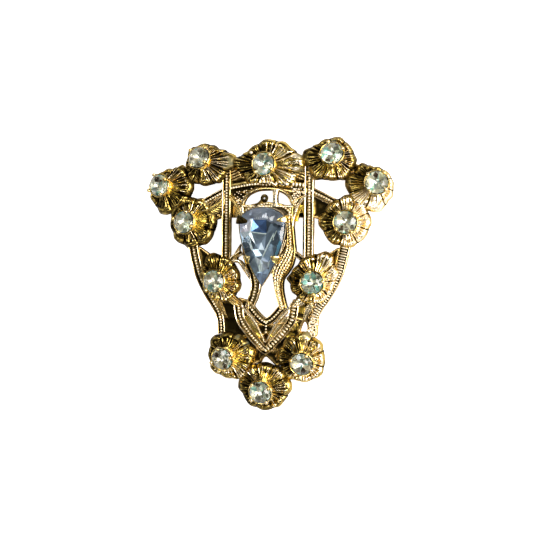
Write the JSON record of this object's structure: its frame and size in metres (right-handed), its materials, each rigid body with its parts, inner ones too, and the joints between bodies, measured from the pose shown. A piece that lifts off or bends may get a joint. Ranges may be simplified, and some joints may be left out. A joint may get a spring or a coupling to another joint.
{
  "type": "dress clip brooch",
  "caption": "Pierced triangular brooch of stamped flowers and beaded ribs, set with a pear stone and round stones, on a slotted clip.",
  "frame": {"origin": "centre of the whole brooch's box, on the surface that the clip's back lies on", "axes": "+Z out of the brooch's front, +Y to its top, +X to its right as seen from the front"},
  "size_m": [0.047, 0.0502, 0.0083],
  "materials": {
    "gilt_brass": "antique gilt, worn",
    "bright_brass": "gilt",
    "pale_blue_glass": "faceted, foiled back",
    "clear_glass": "faceted, foiled back"
  },
  "bodies": {
    "root": {"frame": "gilt_brass", "clip": "gilt_brass", "setting_pear": "bright_brass", "stone_pear": "pale_blue_glass", "setting_top": "bright_brass", "setting_upper_left": "bright_brass", "setting_upper_right": "bright_brass", "setting_outer_left": "bright_brass", "setting_outer_right": "bright_brass", "setting_shoulder_left": "bright_brass", "setting_shoulder_right": "bright_brass", "setting_waist_left": "bright_brass", "setting_waist_right": "bright_brass", "setting_lower_left": "bright_brass", "setting_lower_right": "bright_brass", "setting_point": "bright_brass", "stone_top": "clear_glass", "stone_upper_left": "clear_glass", "stone_upper_right": "clear_glass", "stone_outer_left": "clear_glass", "stone_outer_right": "clear_glass", "stone_shoulder_left": "clear_glass", "stone_shoulder_right": "clear_glass", "stone_waist_left": "clear_glass", "stone_waist_right": "clear_glass", "stone_lower_left": "clear_glass", "stone_lower_right": "clear_glass", "stone_point": "clear_glass"}
  },
  "joints": []
}
